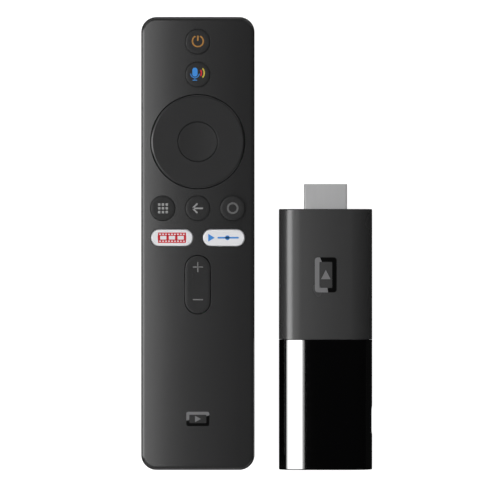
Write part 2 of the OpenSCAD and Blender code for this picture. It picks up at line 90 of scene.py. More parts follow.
class Form:
    """Vertices and faces in an item's frame, turned into one closed mesh object."""

    def __init__(self):
        self.verts = []
        self.faces = []

    def ring(self, points):
        """Add points, and give their indices."""
        start = len(self.verts)
        self.verts += [tuple(p) for p in points]
        return list(range(start, len(self.verts)))

    def bridge(self, a, b):
        """Quads between two closed rings of equal length."""
        for i in range(len(a)):
            j = (i + 1) % len(a)
            self.faces.append((a[i], a[j], b[j], b[i]))

    def cap(self, ring):
        """One face over a whole ring."""
        self.faces.append(tuple(ring))

    def loft(self, rings, caps=True):
        """Join rings one after another, and close both ends."""
        made = [self.ring(r) for r in rings]
        for a, b in zip(made, made[1:]):
            self.bridge(a, b)
        if caps:
            self.cap(made[0])
            self.cap(made[-1])
        return made

    def loop_sweep(self, rings):
        """Join rings one after another and the last to the first."""
        made = [self.ring(r) for r in rings]
        for a, b in zip(made, made[1:] + made[:1]):
            self.bridge(a, b)

    def prism(self, outline, top, bottom, spacing=0.4):
        """A convex flat shape whose top follows a height function closely."""
        dense = divided(outline, spacing)
        low = self.ring([(x, y, bottom(x, y)) for x, y in dense])
        high = self.ring([(x, y, top(x, y)) for x, y in dense])
        self.bridge(low, high)
        self.cap(low)
        self.fill((high, dense), [], nowhere, spacing, lambda x, y: (x, y, top(x, y)))

    def band(self, outer, inner, top, bottom, closed):
        """A flat band between two outlines of equal length."""
        stations = []
        for (xo, yo), (xi, yi) in zip(outer, inner):
            stations.append(self.ring([
                (xo, yo, top(xo, yo)), (xi, yi, top(xi, yi)),
                (xi, yi, bottom(xi, yi)), (xo, yo, bottom(xo, yo)),
            ]))
        for a, b in zip(stations, stations[1:]):
            self.bridge(a, b)
        if closed:
            self.bridge(stations[-1], stations[0])
        else:
            self.cap(stations[0])
            self.cap(stations[-1])

    def fill(self, outer, holes, inside, spacing, place):
        """Triangles between an outer ring and hole rings.

        outer and holes are (vertex indices, outline points) pairs, inside says whether a point
        lies in a hole, and place gives the 3-D point of each new interior point.
        """
        points, known, edges = [], [], []
        for indices, outline in [outer] + holes:
            start, n = len(points), len(outline)
            points += [Vector(p) for p in outline]
            known += list(indices)
            edges += [(start + i, start + (i + 1) % n) for i in range(n)]
        clear = spacing * 0.4
        for p in grid(outer[1], spacing):
            if far_inside(p, outer[1], clear) and not inside(p, clear):
                points.append(p)
                known.append(None)
        out, _, faces, origin, _, _ = delaunay_2d_cdt(points, edges, [], 0, MERGE_MM)
        index = []
        for p, sources in zip(out, origin):
            old = next((known[s] for s in sources if known[s] is not None), None)
            if old is None:
                old = len(self.verts)
                self.verts.append(place(p[0], p[1]))
            index.append(old)
        for face in faces:
            mid = sum((out[i] for i in face), Vector((0, 0))) / len(face)
            if not inside(mid, 0) and far_inside(mid, outer[1], 0):
                self.faces.append(tuple(index[i] for i in face))

    def build(self, name, item, material, smooth_angle=SMOOTH_ANGLE):
        """The finished object, in the shared frame and in metres."""
        mesh = bpy.data.meshes.new(name)
        mesh.from_pydata([((x + item.x) * MM, (y + item.y) * MM, z * MM)
                          for x, y, z in self.verts], [], self.faces)
        obj = bpy.data.objects.new(name, mesh)
        bpy.context.scene.collection.objects.link(obj)
        tidy_mesh(mesh, smooth_angle)
        mesh.materials.append(material)
        return obj


def grid(outline, spacing):
    """Points on a grid over an outline's box, its sides left out."""
    xs = [p[0] for p in outline]
    ys = [p[1] for p in outline]
    nx = max(2, round((max(xs) - min(xs)) / spacing))
    ny = max(2, round((max(ys) - min(ys)) / spacing))
    return [Vector((min(xs) + (max(xs) - min(xs)) * i / nx,
                    min(ys) + (max(ys) - min(ys)) * j / ny))
            for i in range(1, nx) for j in range(1, ny)]


def nowhere(p, margin):
    """The test for a hole where there is none."""
    return False


def divided(outline, spacing):
    """An outline with every side cut into pieces no longer than the spacing."""
    points = []
    for (x0, y0), (x1, y1) in zip(outline, outline[1:] + outline[:1]):
        count = max(1, math.ceil(math.hypot(x1 - x0, y1 - y0) / spacing))
        points += [(x0 + (x1 - x0) * i / count, y0 + (y1 - y0) * i / count) for i in range(count)]
    return points


def tidy_mesh(mesh, smooth_angle):
    """Weld a mesh, turn its faces outwards and shade it."""
    bm = bmesh.new()
    bm.from_mesh(mesh)
    bmesh.ops.remove_doubles(bm, verts=bm.verts, dist=WELD_M)
    bmesh.ops.recalc_face_normals(bm, faces=bm.faces)
    bm.to_mesh(mesh)
    bm.free()
    shade(mesh, smooth_angle)


def shade(mesh, smooth_angle=SMOOTH_ANGLE):
    """Smooth shading, with edges sharper than the angle kept hard."""
    mesh.shade_smooth()
    mesh.set_sharp_from_angle(angle=math.radians(smooth_angle))


def far_inside(p, outline, margin):
    """Whether p lies in a convex anticlockwise outline, at least margin from its edge."""
    n = len(outline)
    for i in range(n):
        x0, y0 = outline[i]
        x1, y1 = outline[(i + 1) % n]
        length = math.hypot(x1 - x0, y1 - y0)
        if length < 1e-9:
            continue
        if ((x1 - x0) * (p[1] - y0) - (y1 - y0) * (p[0] - x0)) / length < margin:
            return False
    return True


def piece(obj, body, slot, *nodes):
    """Attach a finished piece to its body, and hide the CAD nodes that it stands for. The slot is
    not used.
    """
    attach(obj, body)
    if nodes:
        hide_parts(*nodes)
    return obj


# ---------------------------------------------------------------- outlines

def arc(cx, cy, r, start, end, steps):
    """Points on an arc, in degrees, both ends included."""
    turn = [math.radians(start + (end - start) * i / steps) for i in range(steps + 1)]
    return [(cx + r * math.cos(a), cy + r * math.sin(a)) for a in turn]


def circle(cx, cy, r, steps=96):
    return arc(cx, cy, r, 0, 360, steps)[:-1]


def capsule(cx, cy, half_x, half_y, r, steps=96):
    """Outline round a line segment; a circle where the segment has no length."""
    if half_x == 0 and half_y == 0:
        return circle(cx, cy, r, steps)
    if half_x:
        return (arc(cx + half_x, cy, r, -90, 90, steps // 2)
                + arc(cx - half_x, cy, r, 90, 270, steps // 2))
    return (arc(cx, cy + half_y, r, 0, 180, steps // 2)
            + arc(cx, cy - half_y, r, 180, 360, steps // 2))


def rounded_rect(cx, cy, w, l, r, corner=12, across=18, along=24):
    """Anticlockwise rounded rectangle with evenly divided sides."""
    x, y = w / 2 - r, l / 2 - r
    corners = [(x, -y, -90), (x, y, 0), (-x, y, 90), (-x, -y, 180)]
    points = []
    for k, (px, py, start) in enumerate(corners):
        points += arc(cx + px, cy + py, r, start, start + 90, corner)
        nx, ny, after = corners[(k + 1) % 4]
        first = points[-1]
        last = arc(cx + nx, cy + ny, r, after, after + 90, corner)[0]
        count = along if k % 2 == 0 else across
        points += [(first[0] + (last[0] - first[0]) * i / count,
                    first[1] + (last[1] - first[1]) * i / count) for i in range(1, count)]
    return points


def in_capsule(p, shape, margin):
    """Whether p is inside a capsule (cx, cy, half_x, half_y, r) grown by margin."""
    cx, cy, half_x, half_y, r = shape
    dx = max(abs(p[0] - cx) - half_x, 0)
    dy = max(abs(p[1] - cy) - half_y, 0)
    return math.hypot(dx, dy) < r + margin


# ---------------------------------------------------------------- materials

def new_material(name):
    """A new material, its node tree and its Principled shader."""
    mat = bpy.data.materials.new(name)
    mat.use_nodes = True
    tree = mat.node_tree
    return mat, tree, tree.nodes["Principled BSDF"]


def set_inputs(node, **values):
    for key, value in values.items():
        node.inputs[key.replace("_", " ")].default_value = value


def coords(tree, scale=(1, 1, 1)):
    """Object coordinates, stretched where the scale is below 1."""
    source = tree.nodes.new("ShaderNodeTexCoord")
    mapping = tree.nodes.new("ShaderNodeMapping")
    mapping.inputs["Scale"].default_value = scale
    tree.links.new(source.outputs["Object"], mapping.inputs["Vector"])
    return mapping.outputs["Vector"]


def noise(tree, vector, scale, detail=3, roughness=0.5):
    node = tree.nodes.new("ShaderNodeTexNoise")
    set_inputs(node, Scale=scale, Detail=detail, Roughness=roughness)
    tree.links.new(vector, node.inputs["Vector"])
    return node.outputs["Fac"]


def remap(tree, value, low, high, from_low=0.0, from_high=1.0):
    """A value moved from one range to another, and clamped to it."""
    node = tree.nodes.new("ShaderNodeMapRange")
    set_inputs(node, From_Min=from_low, From_Max=from_high, To_Min=low, To_Max=high)
    tree.links.new(value, node.inputs["Value"])
    return node.outputs["Result"]


def mix_colour(tree, factor, a, b):
    """Colour a where the factor is 0, and b where it is 1."""
    node = tree.nodes.new("ShaderNodeMix")
    node.data_type = "RGBA"
    node.inputs["A"].default_value = (*a, 1)
    node.inputs["B"].default_value = (*b, 1)
    tree.links.new(factor, node.inputs["Factor"])
    return node.outputs["Result"]


def bump(tree, shader, height, distance, strength):
    """Relief from a height socket, whose full range stands for the distance in metres."""
    node = tree.nodes.new("ShaderNodeBump")
    set_inputs(node, Distance=distance, Strength=strength)
    tree.links.new(height, node.inputs["Height"])
    tree.links.new(node.outputs["Normal"], shader.inputs["Normal"])


UNEVEN_PLASTIC = 0.012   # how far roughness strays to either side, on plastic
UNEVEN_METAL = 0.03      # and on metal
DARKER = 0.93            # the darker tone of a mottled metal or print


def moulded_plastic(name, dark, light, rough, specular):
    """Moulded plastic with spark-eroded grain, faint mottling and slightly uneven gloss."""
    mat, tree, shader = new_material(name)
    vector = coords(tree)
    mottle = noise(tree, vector, 60, 2)
    fine = noise(tree, vector, 4200, 2, 0.6)
    tree.links.new(mix_colour(tree, mottle, dark, light), shader.inputs["Base Color"])
    uneven = noise(tree, vector, 90, 2)
    tree.links.new(remap(tree, uneven, rough - UNEVEN_PLASTIC, rough + UNEVEN_PLASTIC),
                   shader.inputs["Roughness"])
    shader.inputs["Specular IOR Level"].default_value = specular
    bump(tree, shader, fine, 6e-6, 0.25)
    return mat


def gloss_plastic(name):
    """Polished black plastic with a very faint moulding ripple."""
    mat, tree, shader = new_material(name)
    vector = coords(tree)
    tree.links.new(mix_colour(tree, noise(tree, vector, 30),
                              (0.0005, 0.0005, 0.0006), (0.0009, 0.0009, 0.001)),
                   shader.inputs["Base Color"])
    tree.links.new(remap(tree, noise(tree, vector, 400, 2), 0.025, 0.035),
                   shader.inputs["Roughness"])
    shader.inputs["IOR"].default_value = 2.4
    bump(tree, shader, noise(tree, vector, 45, 1), 2e-6, 0.04)
    return mat


def metal(name, colour, rough, brush=(1, 1, 1), strength=0.15, metallic=1.0):
    """Sheet metal with a grain drawn out along one axis."""
    mat, tree, shader = new_material(name)
    vector = coords(tree, brush)
    grain = noise(tree, vector, 900, 3, 0.6)
    darker = tuple(c * DARKER for c in colour)
    tree.links.new(mix_colour(tree, grain, darker, colour), shader.inputs["Base Color"])
    tree.links.new(remap(tree, grain, rough - UNEVEN_METAL, rough + UNEVEN_METAL),
                   shader.inputs["Roughness"])
    shader.inputs["Metallic"].default_value = metallic
    bump(tree, shader, grain, 4e-6, strength)
    return mat


def printed(name, colour, rough=0.4, specular=0.3):
    """Printed or painted mark with a trace of screen-print texture."""
    mat, tree, shader = new_material(name)
    vector = coords(tree)
    darker = tuple(c * DARKER for c in colour)
    tree.links.new(mix_colour(tree, noise(tree, vector, 1500), darker, colour),
                   shader.inputs["Base Color"])
    shader.inputs["Roughness"].default_value = rough
    shader.inputs["Specular IOR Level"].default_value = specular
    bump(tree, shader, noise(tree, vector, 5000, 2), 3e-6, 0.15)
    return mat


def circuit_board(name, mask, track):
    """Solder mask over a web of raised tracks."""
    mat, tree, shader = new_material(name)
    vector = coords(tree)
    cells = tree.nodes.new("ShaderNodeTexVoronoi")
    cells.feature = "DISTANCE_TO_EDGE"
    cells.distance = "EUCLIDEAN"
    set_inputs(cells, Scale=420)
    tree.links.new(vector, cells.inputs["Vector"])
    lines = remap(tree, cells.outputs["Distance"], 1, 0, 0.05, 0.09)
    tree.links.new(mix_colour(tree, lines, mask, track), shader.inputs["Base Color"])
    shader.inputs["Roughness"].default_value = 0.32
    bump(tree, shader, lines, 2e-5, 0.4)
    return mat


def cell_wrap(name, band_y, blur):
    """Battery sleeve: a metallic film with a coloured band towards its nub."""
    mat, tree, shader = new_material(name)
    vector = coords(tree)
    split = tree.nodes.new("ShaderNodeSeparateXYZ")
    tree.links.new(vector, split.inputs["Vector"])
    band = remap(tree, split.outputs["Y"], 0, 1, band_y * MM, (band_y + blur) * MM)
    tree.links.new(mix_colour(tree, band, (0.02, 0.06, 0.12), (0.55, 0.36, 0.12)),
                   shader.inputs["Base Color"])
    shader.inputs["Metallic"].default_value = 0.7
    shader.inputs["Roughness"].default_value = 0.28
    bump(tree, shader, noise(tree, vector, 700, 2), 3e-6, 0.2)
    return mat


def clear_plastic(name):
    """Clear plastic with a faintly cloudy tint."""
    mat, tree, shader = new_material(name)
    tree.links.new(mix_colour(tree, noise(tree, coords(tree), 900),
                              (0.75, 0.79, 0.8), (0.85, 0.88, 0.88)),
                   shader.inputs["Base Color"])
    shader.inputs["Roughness"].default_value = 0.15
    shader.inputs["Transmission Weight"].default_value = 0.6
    return mat


SHELL = moulded_plastic("shell_plastic", (0.0205, 0.0205, 0.0208), (0.0225, 0.0225, 0.0228),
                        0.2, 1.0)
CAPS = moulded_plastic("cap_plastic", (0.0135, 0.0135, 0.0138), (0.0155, 0.0155, 0.0158),
                       0.22, 1.0)
WHITE = moulded_plastic("white_plastic", (0.82, 0.82, 0.84), (0.86, 0.86, 0.88), 0.35, 0.5)
STICK_MATTE = moulded_plastic("stick_matte_plastic", (0.036, 0.036, 0.0363), (0.04, 0.04, 0.0403),
                              0.27, 0.6)
STICK_GLOSS = gloss_plastic("stick_gloss_plastic")
FRAME_PLASTIC = moulded_plastic("frame_plastic", (0.05, 0.05, 0.053), (0.06, 0.06, 0.063), 0.6, 0.3)
KEYPAD = moulded_plastic("keypad_silicone", (0.045, 0.045, 0.048), (0.055, 0.055, 0.058), 0.7, 0.3)
CHIP = moulded_plastic("chip_epoxy", (0.018, 0.018, 0.02), (0.024, 0.024, 0.026), 0.55, 0.3)
THERMAL = moulded_plastic("thermal_pad_silicone", (0.28, 0.33, 0.42), (0.33, 0.38, 0.47), 0.8, 0.2)
PLUG = metal("plug_steel", (0.56, 0.56, 0.565), 0.25, (1, 0.1, 1), 0.05, 0.04)
SOCKET = metal("socket_steel", (0.5, 0.5, 0.505), 0.3, (1, 1, 1), 0.05, 0.3)
SHEET = metal("sheet_steel", (0.6, 0.61, 0.63), 0.3, (0.1, 1, 1))
SPREADER = metal("spreader_aluminium", (0.72, 0.72, 0.74), 0.35, (1, 0.08, 1))
GOLD = metal("contact_gold", (0.83, 0.62, 0.28), 0.25)
# Two copies of one screen print: the black one is painted shade, the pale grey metal one a painted
# highlight
MARK_PAINTED_SHADE = printed("mark_painted_shade", (0.002, 0.002, 0.002), 0.3, 0.1)
MARK_PAINTED_HIGHLIGHT = metal("mark_silver", (0.2, 0.2, 0.205), 0.22, (1, 1, 1), 0.05, 0.1)
PRINT_GREY = printed("print_grey", (0.33, 0.33, 0.33))
PRINT_MID = printed("print_mid_grey", (0.22, 0.22, 0.22))
PRINT_DIM = printed("print_dim_grey", (0.13, 0.13, 0.13))
PRINT_ORANGE = printed("print_orange", (0.42, 0.2, 0.045))
PRINT_YELLOW = printed("print_yellow", (0.62, 0.5, 0.06))
PRINT_BLUE = printed("print_blue", (0.05, 0.28, 0.75))
PRINT_RED = printed("print_red", (0.7, 0.015, 0.03))
BOARD_GREEN = circuit_board("board_green", (0.008, 0.07, 0.03), (0.03, 0.16, 0.07))
BOARD_BLUE = circuit_board("board_blue", (0.008, 0.03, 0.09), (0.02, 0.07, 0.18))
LENS = clear_plastic("clear_plastic")


# ---------------------------------------------------------------- camera, stage and light

VIEW_W_MM = 161.6                       # width of the picture, at the height below
VIEW_X_MM, VIEW_Y_MM = -2.21, 0.31      # what the camera looks down on
VIEW_PLANE_MM = 12
LENS_MM, SENSOR_MM = 500, 36
LIGHT_FAR = 3.0                         # metres from the origin to a lamp's near and far edges


def make_camera():
    """A long lens looking straight down, as in the photo."""
    data = bpy.data.cameras.new("camera")
    data.lens = LENS_MM
    data.sensor_width = SENSOR_MM
    data.clip_end = 20
    camera = bpy.data.objects.new("camera", data)
    distance = VIEW_W_MM * LENS_MM / SENSOR_MM
    camera.location = (VIEW_X_MM * MM, VIEW_Y_MM * MM, (distance + VIEW_PLANE_MM) * MM)
    bpy.context.scene.collection.objects.link(camera)
    bpy.context.scene.camera = camera


def panel(name, azimuth, low, high, spread, radiance, glossy):
    """A soft panel seen under the given angles, lighting either the gloss or the diffuse.

    azimuth is its compass side in degrees from +X towards +Y, low and high are the angles from
    straight up of its two edges, and spread is half its width.
    """
    turn = math.radians(azimuth)
    away = Vector((math.cos(turn), math.sin(turn), 0))
    near, far = (LIGHT_FAR * (away * math.sin(zenith) + Vector((0, 0, math.cos(zenith))))
                 for zenith in (math.radians(low), math.radians(high)))
    middle = (near + far) / 2
    height = (near - far).length
    data = bpy.data.lights.new(name, "AREA")
    data.shape = "RECTANGLE"
    data.size, data.size_y = 2 * spread, height
    data.energy = 4 * radiance * data.size * data.size_y
    lamp = bpy.data.objects.new(name, data)
    z_axis = middle.normalized()
    x_axis = Vector((-away.y, away.x, 0))
    y_axis = z_axis.cross(x_axis)
    axes = Matrix((x_axis, y_axis, z_axis)).transposed()
    lamp.matrix_world = Matrix.Translation(middle) @ axes.to_4x4()
    lamp.visible_camera = False
    lamp.visible_glossy = glossy
    lamp.visible_diffuse = not glossy
    bpy.context.scene.collection.objects.link(lamp)
    return lamp


def softbox(name, rows):
    """A tall softbox on the left in the gloss: rows of (low zenith, high zenith, radiance)."""
    return [panel(f"{name}_{low}", 180, low, high, 0.5, radiance, True)
            for low, high, radiance in rows]


def light_link(lamps, objects, state):
    """Keep the light of some lamps to the given objects (INCLUDE) or off them (EXCLUDE)."""
    for lamp in lamps:
        receiver = bpy.data.collections.new(lamp.name + "_receiver")
        for obj in objects:
            receiver.objects.link(obj)
        for entry in receiver.collection_objects:
            entry.light_linking.link_state = state
        lamp.light_linking.receiver_collection = receiver


def is_ray(tree, kind):
    """1 for rays of one kind, such as "Is Camera Ray", and 0 for the rest."""
    return tree.nodes.new("ShaderNodeLightPath").outputs[kind]


def make_world():
    """White behind the object, and dim to everything that the world lights."""
    world = bpy.data.worlds.new("studio")
    bpy.context.scene.world = world
    world.use_nodes = True
    tree = world.node_tree
    back = tree.nodes["Background"]
    unseen = mix_colour(tree, is_ray(tree, "Is Diffuse Ray"), GLOSS_SKY, DIFFUSE_SKY)
    shown = mix_colour(tree, is_ray(tree, "Is Camera Ray"), GLOSS_SKY, (1, 1, 1))
    tree.links.new(unseen, shown.node.inputs["A"])
    tree.links.new(shown, back.inputs["Color"])


def make_floor():
    """Plain pale floor, lit to white, that shows dark in the object's gloss."""
    size = 4.0
    below = 0.00002
    mesh = bpy.data.meshes.new("floor")
    mesh.from_pydata([(-size, -size, 0), (size, -size, 0), (size, size, 0), (-size, size, 0)],
                     [], [(0, 1, 2, 3)])
    floor = bpy.data.objects.new("floor", mesh)
    floor.location.z = -below
    bpy.context.scene.collection.objects.link(floor)
    mat, tree, shader = new_material("floor_paint")
    tree.links.new(mix_colour(tree, is_ray(tree, "Is Glossy Ray"), FLOOR_GREY, FLOOR_IN_GLOSS),
                   shader.inputs["Base Color"])
    tree.links.new(mix_colour(tree, is_ray(tree, "Is Camera Ray"), (0, 0, 0), FLOOR_GLOW),
                   shader.inputs["Emission Color"])
    set_inputs(shader, Roughness=1.0, Emission_Strength=1.0)
    shader.inputs["Specular IOR Level"].default_value = 0
    mesh.materials.append(mat)


GLOSS_SKY = (0.006, 0.006, 0.0063)
DIFFUSE_SKY = (0.09, 0.09, 0.09)
FLOOR_GREY = (0.35, 0.35, 0.35)
FLOOR_IN_GLOSS = (0.015, 0.015, 0.015)
FLOOR_GLOW = (0.96, 0.96, 0.96)

make_camera()
make_world()
make_floor()
# Light in the gloss: three softboxes in one place, each for its own kind of surface, and weak
# panels all round
REMOTE_KEY = softbox("remote_key", [(-4, 8.5, 0.1), (8.5, 24, 1.8), (24, 50, 1.4),
                                    (50, 78.4, 3.0)])
MATTE_KEY = softbox("matte_key", [(-4, 8.5, 0.25), (8.5, 24, 1.05), (24, 50, 1.15),
                                  (50, 78.4, 5.7)])
GLOSS_KEY = softbox("gloss_key", [(6.2, 6.7, 0.9), (6.7, 7.2, 3.2), (7.2, 67, 7.0),
                                  (67, 73, 5.4), (73, 79.5, 3.6), (79.5, 85, 1.4)])
for azimuth in (45, 90, 135, 225, 270, 315):
    panel(f"sheen_{azimuth}", azimuth, 52, 80, 0.9, 0.5, True)

# Light in the diffuse colour: the same side, overhead, and low for the upright faces
key_soft = panel("key_soft", 180, 22, 64, 2.0, 2.1, False)
plug_soft = panel("plug_soft", 125, 22, 64, 1.0, 2.85, False)
panel("top_soft", 0, -15, 15, 0.8, 0.6, False)
front_soft = panel("front_soft", 270, 66, 88, 1.5, 3.2, False)
panel("back_soft", 90, 66, 88, 1.5, 2.6, False)
panel("right_soft", 0, 66, 88, 1.5, 0.7, False)
bpy.context.scene.view_settings.view_transform = "Standard"


# ---------------------------------------------------------------- remote

CORNER_R = 4.9           # corners of the plan
WALL = 1.5
PART_Z = 7.05            # where the front shell meets the back shell
PART_LIP = 0.16          # chamfer there
CROWN_FALL = 0.66        # how much lower the face is at its long sides
CROWN_R = ((REMOTE.w / 2) ** 2 + CROWN_FALL ** 2) / (2 * CROWN_FALL)
FACE_Z = box_mm("remote_front_shell")[1].z
FACE_IN_Z = FACE_Z - WALL
EDGE_R = 1.15            # rounding all round the face
RIM_R = 0.02             # rounding of a hole's rim
SEEN_GAP = 0.24          # between a cap and its hole
SUPPORT = 0.1            # a ring this far from a rounded edge keeps the face beside it flat


def crown(x, y=0):
    """Height of the remote's front face."""
    return FACE_Z - CROWN_R + math.sqrt(CROWN_R ** 2 - x * x)


def remote_plan(inset):
    """The remote's outline, moved in."""
    return rounded_rect(0, REMOTE.l / 2, REMOTE.w - 2 * inset, REMOTE.l - 2 * inset,
                        CORNER_R - inset, 14, 22, 60)


def cap_shape(node, flange):
    """The capsule (cx, cy, half_x, half_y, r) of a cap, from its CAD box and flange width."""
    cx, cy, size, _, _ = REMOTE.middle(node)
    w, l = size.x - 2 * flange, size.y - 2 * flange
    r = min(w, l) / 2
    return cx, cy, w / 2 - r, l / 2 - r, r


def volume_shape():
    """The volume rocker's capsule, without the ears that stick out sideways only."""
    cx, cy, size, _, _ = REMOTE.middle("volume_rocker")
    ear = 0.7
    r = size.x / 2 - ear
    return cx, cy, 0, size.y / 2 - r, r


ROUND_NODES = ["power_button", "voice_button", "apps_button", "back_button", "home_button"]
PILL_NODES = ["shortcut_button_left", "shortcut_button_right"]
ROUND_FLANGE, PILL_FLANGE = 0.6, 0.5
SHAPES = {n: cap_shape(n, ROUND_FLANGE) for n in ROUND_NODES}
SHAPES.update({n: cap_shape(n, PILL_FLANGE) for n in PILL_NODES})
SHAPES["volume_rocker"] = volume_shape()
SHAPES["dpad_ring"] = cap_shape("dpad_ring", 0)
OK_R = 6.25


def grown(shape, by):
    """A capsule's numbers with a larger radius."""
    return (*shape[:4], shape[4] + by)


def on_crown(outline_points, drop=0.0):
    """Outline points laid on the remote's face, or a little below it."""
    return [(x, y, crown(x) - drop) for x, y in outline_points]


def hole_walls(form, shape):
    """Rounded rim and wall of one hole; gives its top and bottom rings with their outlines."""
    rim = SEEN_GAP + RIM_R
    support = capsule(*grown(shape, rim + SUPPORT))
    walls = [on_crown(support)]
    steps = 4
    for k in range(steps + 1):
        a = math.radians(90 - 90 * k / steps)
        loop = capsule(*grown(shape, SEEN_GAP + RIM_R * (1 - math.cos(a))))
        walls.append(on_crown(loop, RIM_R * (1 - math.sin(a))))
    low = capsule(*grown(shape, SEEN_GAP))
    walls.append([(x, y, FACE_IN_Z) for x, y in low])
    made = form.loft(walls, caps=False)
    return (made[0], support), (made[-1], low)


def in_holes(grow):
    """A test for points inside any hole in the front face."""
    return lambda p, margin: any(in_capsule(p, shape, grow + margin)
                                 for shape in SHAPES.values())


def make_front_shell():
    """The shell from its parting line over the rounded edge to the crowned face, and back in."""
    smooth_angle = 32
    form = Form()
    steps = 8
    face_grid, inner_grid = 1.6, 4.0
    outer = [[(x, y, PART_Z) for x, y in remote_plan(PART_LIP)],
             [(x, y, PART_Z + PART_LIP) for x, y in remote_plan(0)]]
    for k in range(steps + 1):
        a = math.radians(90 * k / steps)
        outer.append(on_crown(remote_plan(EDGE_R * (1 - math.cos(a))),
                              EDGE_R * (1 - math.sin(a))))
    edge = remote_plan(EDGE_R + SUPPORT)
    outer.append(on_crown(edge))
    rings = form.loft(outer, caps=False)
    holes = [hole_walls(form, shape) for shape in SHAPES.values()]
    form.fill((rings[-1], edge), [top for top, _ in holes],
              in_holes(SEEN_GAP + RIM_R + SUPPORT), face_grid, lambda x, y: (x, y, crown(x)))
    inner = remote_plan(WALL)
    inner_top = form.ring([(x, y, FACE_IN_Z) for x, y in inner])
    inner_low = form.ring([(x, y, PART_Z) for x, y in inner])
    form.bridge(inner_top, inner_low)
    form.bridge(inner_low, rings[0])
    form.fill((inner_top, inner), [low for _, low in holes], in_holes(SEEN_GAP), inner_grid,
              lambda x, y: (x, y, FACE_IN_Z))
    obj = form.build("remote_front_shell_skin", REMOTE, SHELL, smooth_angle)
    piece(obj, "remote", "remote_shell", "remote_front_shell")


def cap_rings(shape, z0, flange, flange_t, z1, edge_r, dome, shoulder):
    """Rings of a button cap from its flange up over a rounded edge and a soft shoulder.

    The top rises by dome over the width of the shoulder, or dips where dome is negative, and is
    flat inside it.
    """
    r = shape[4]
    rings = []

    def add(grow, z):
        rings.append([(x, y, z) for x, y in capsule(*grown(shape, grow))])

    if flange:
        add(flange, z0)
        add(flange, z0 + flange_t)
        add(0, z0 + flange_t)
    else:
        add(0, z0)
    edge_z = z1 - max(dome, 0)
    steps = 6
    for k in range(steps + 1):
        a = math.radians(90 * k / steps)
        add(-edge_r * (1 - math.cos(a)), edge_z - edge_r * (1 - math.sin(a)))
    for depth in [SUPPORT] + [shoulder * k / steps for k in range(1, steps + 1)]:
        add(-edge_r - depth, edge_z + dome * (1 - (1 - depth / shoulder) ** 2))
    flat = r - edge_r - shoulder
    flat_rings = 4
    for k in range(1, flat_rings):
        add(-edge_r - shoulder - flat * k / flat_rings, edge_z + dome)
    return rings


def cap_top(shape, z1, edge_r, dome, shoulder):
    """Height function of the domed top that cap_rings makes."""
    cx, cy, half_x, half_y, r = shape

    def height(x, y):
        dx = max(abs(x - cx) - half_x, 0)
        dy = max(abs(y - cy) - half_y, 0)
        depth = min(max(r - edge_r - math.hypot(dx, dy), 0), shoulder)
        return z1 - dome + dome * (1 - (1 - depth / shoulder) ** 2)
    return height


CAP_DOME, CAP_EDGE = 0.02, 0.045
PILL_DOME, PILL_EDGE = 0.03, 0.3
SHOULDER = 1.0
FLANGE_T = 1.0
TOPS = {}                # height function of each cap's top, for the marks


def make_cap(node, flange, material, slot, dome=CAP_DOME, edge=CAP_EDGE):
    """One button cap or the volume rocker."""
    _, _, _, z0, z1 = REMOTE.middle(node)
    shape = SHAPES[node]
    form = Form()
    form.loft(cap_rings(shape, z0, flange, FLANGE_T, z1, edge, dome, SHOULDER))
    obj = form.build(node + "_cap", REMOTE, material, CAP_ANGLE)
    body = "volume" if node == "volume_rocker" else node
    piece(obj, body, slot, node)
    TOPS[node] = cap_top(shape, z1, edge, dome, SHOULDER)


def revolve(profile, cx, cy, steps=128):
    """Rings of a closed profile of (radius, height) points turned round a vertical axis."""
    rings = []
    for k in range(steps):
        a = 2 * math.pi * k / steps
        rings.append([(cx + r * math.cos(a), cy + r * math.sin(a), z) for r, z in profile])
    return rings


def make_dpad():
    """The ring, a little wider than its CAD node, for a gap as narrow as in the photo."""
    wider = 0.11
    cx, cy, _, _, r = grown(SHAPES["dpad_ring"], wider)
    _, _, _, z0, z1 = REMOTE.middle("dpad_ring")
    inner = OK_R + SEEN_GAP
    edge, soft = 0.65, 0.06
    profile = [(inner, z0), (r, z0)]
    profile += arc(r - edge, z1 - edge, edge, 0, 90, 6)
    profile += [(r - edge - SUPPORT, z1), ((r + inner) / 2, z1), (inner + soft + SUPPORT, z1)]
    profile += arc(inner + soft, z1 - soft, soft, 90, 180, 4)
    form = Form()
    form.loop_sweep(revolve(profile, cx, cy))
    obj = form.build("dpad_ring_cap", REMOTE, CAPS, CAP_ANGLE)
    piece(obj, "dpad", "remote_caps", "dpad_ring")


def make_ok_button():
    """The round button in the d-pad, its top slightly dished."""
    cx, cy, _, z0, z1 = REMOTE.middle("ok_button")
    shape = (cx, cy, 0, 0, OK_R)
    flange, flange_t = 1.5, 0.6
    dish, shoulder = 0.05, 5.5
    form = Form()
    form.loft(cap_rings(shape, z0, flange, flange_t, z1, CAP_EDGE, -dish, shoulder))
    obj = form.build("ok_button_cap", REMOTE, CAPS, CAP_ANGLE)
    piece(obj, "ok_button", "remote_caps", "ok_button")


make_front_shell()
for name in ROUND_NODES:
    make_cap(name, ROUND_FLANGE, CAPS, "remote_caps")
for name in PILL_NODES:
    make_cap(name, PILL_FLANGE, WHITE, "shortcut_white", PILL_DOME, PILL_EDGE)
make_cap("volume_rocker", 0, CAPS, "remote_caps")
make_dpad()
make_ok_button()


# ---------------------------------------------------------------- marks

PRINT_T = 0.02           # how far a mark stands proud
PRINT_ROOT = 0.03        # and how far it goes into its surface


